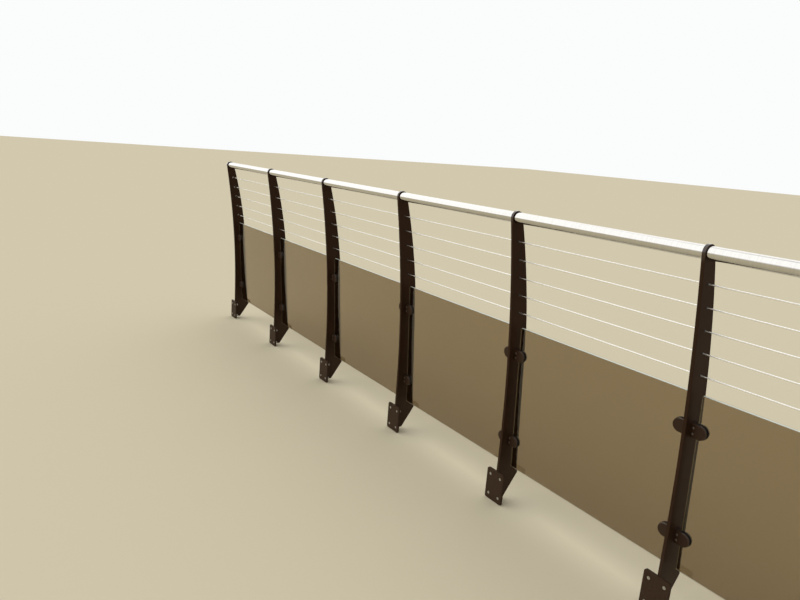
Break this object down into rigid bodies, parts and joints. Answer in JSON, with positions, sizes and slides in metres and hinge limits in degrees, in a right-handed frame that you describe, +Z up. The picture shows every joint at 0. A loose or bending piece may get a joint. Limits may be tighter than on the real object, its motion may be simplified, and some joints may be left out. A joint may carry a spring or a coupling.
{
  "type": "glass and wire balustrade with curved plate posts",
  "caption": "Side-fixed balustrade: inward-leaning curved plate posts, round steel handrail, taut horizontal wires and tinted glass lower panels held by D-shaped clamps.",
  "frame": {"origin": "centre of the bolt pattern on the deck-side face of the middle post's flange", "axes": "+X along the balustrade, -Y towards the deck it guards, +Z up"},
  "size_m": [4.9, 0.1983, 1.2585],
  "materials": {
    "post_powder_coat": "satin dark brown powder coat",
    "handrail_steel": "satin polished stainless steel",
    "wire_steel": "stainless strand",
    "terminal_steel": "machined stainless steel",
    "tinted_glass": "polished bronze-tinted glass",
    "clamp_powder_coat": "satin dark brown powder coat",
    "clamp_rubber": "matt black rubber"
  },
  "bodies": {
    "root": {"post_1": "post_powder_coat", "post_2": "post_powder_coat", "post_3": "post_powder_coat", "post_4": "post_powder_coat", "post_5": "post_powder_coat", "post_6": "post_powder_coat", "post_7": "post_powder_coat", "handrail": "handrail_steel", "handrail_end_caps": "handrail_steel", "wire_1": "wire_steel", "wire_2": "wire_steel", "wire_3": "wire_steel", "wire_4": "wire_steel", "wire_5": "wire_steel", "wire_terminals_left": "terminal_steel", "wire_terminals_right": "terminal_steel", "glass_panel_1": "tinted_glass", "glass_panel_2": "tinted_glass", "glass_panel_3": "tinted_glass", "glass_panel_4": "tinted_glass", "glass_panel_5": "tinted_glass", "glass_panel_6": "tinted_glass", "clamp_bodies_1": "clamp_powder_coat", "clamp_bodies_2": "clamp_powder_coat", "clamp_bodies_3": "clamp_powder_coat", "clamp_bodies_4": "clamp_powder_coat", "clamp_bodies_5": "clamp_powder_coat", "clamp_bodies_6": "clamp_powder_coat", "clamp_covers_1": "clamp_powder_coat", "clamp_covers_2": "clamp_powder_coat", "clamp_covers_3": "clamp_powder_coat", "clamp_covers_4": "clamp_powder_coat", "clamp_covers_5": "clamp_powder_coat", "clamp_covers_6": "clamp_powder_coat", "clamp_linings_1": "clamp_rubber", "clamp_linings_2": "clamp_rubber", "clamp_linings_3": "clamp_rubber", "clamp_linings_4": "clamp_rubber", "clamp_linings_5": "clamp_rubber", "clamp_linings_6": "clamp_rubber"}
  },
  "joints": []
}
